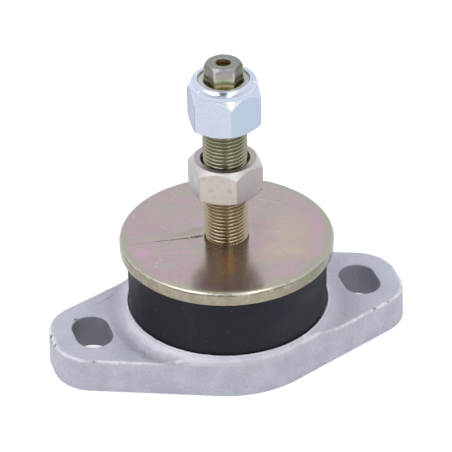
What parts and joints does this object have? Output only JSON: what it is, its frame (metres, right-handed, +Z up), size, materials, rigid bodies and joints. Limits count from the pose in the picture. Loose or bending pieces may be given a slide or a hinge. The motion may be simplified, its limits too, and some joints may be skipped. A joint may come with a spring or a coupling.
{
  "type": "engine mount",
  "caption": "Rubber engine mount: a cast base with slotted ears carries a bonded rubber spring, a steel plate and a threaded stud that sets the engine's height.",
  "frame": {"origin": "centre of the base's underside, on the stud's axis", "axes": "+X along the base through both slotted ears, +Z up the stud"},
  "size_m": [0.1358, 0.0786, 0.1169],
  "materials": {
    "cast_aluminium": "shot-blasted casting, fine grain, edges rubbed bright",
    "bond_ring_steel": "phosphated steel",
    "spring_rubber": "moulded, matt to satin",
    "plate_zinc_yellow": "yellow-chromated zinc with pink and green tints",
    "hub_steel": "plain turned steel",
    "stud_zinc_yellow": "yellow-chromated zinc, olive gold",
    "buffer_rubber": "moulded, matt",
    "adjusting_nut_zinc": "satin, thin yellow-chromated zinc",
    "lock_nut_zinc": "bright blue-white zinc",
    "insert_nylon": "pale natural nylon"
  },
  "bodies": {
    "base": {"base_casting": "cast_aluminium", "lower_bond_ring": "bond_ring_steel", "rubber_spring": "spring_rubber"},
    "sprung_top": {"top_plate": "plate_zinc_yellow", "threaded_hub": "hub_steel", "adjusting_stud": "stud_zinc_yellow", "rebound_buffer": "buffer_rubber"},
    "height_nut": {"adjusting_nut": "adjusting_nut_zinc"},
    "locking_insert": {"nylon_insert": "insert_nylon"},
    "locking_nut": {"lock_nut": "lock_nut_zinc"}
  },
  "joints": [
    {"name": "rubber_load", "type": "slide", "parent": "base", "child": "sprung_top", "axis": [0, 0, 1], "range_m": [-0.0035, 0.0015], "stiffness_N_per_m": 600000, "deforming": ["rubber_spring"]},
    {"name": "adjusting_nut_travel", "type": "slide", "parent": "sprung_top", "child": "height_nut", "axis": [0, 0, 1], "range_m": [-0.019, 0.007]},
    {"name": "lock_nut_travel", "type": "slide", "parent": "sprung_top", "child": "locking_insert", "axis": [0, 0, 1], "range_m": [-0.0071, 0.0031]},
    {"name": "lock_nut_turn", "type": "hinge", "parent": "locking_insert", "child": "locking_nut", "pos_m": [0, 0, 0.0925], "axis": [0, 0, 1], "range_deg": [-1680, 720]}
  ],
  "couplings": [
    {"joint": "lock_nut_travel", "follows": "lock_nut_turn", "m_per_rad": 0.00023873}
  ]
}
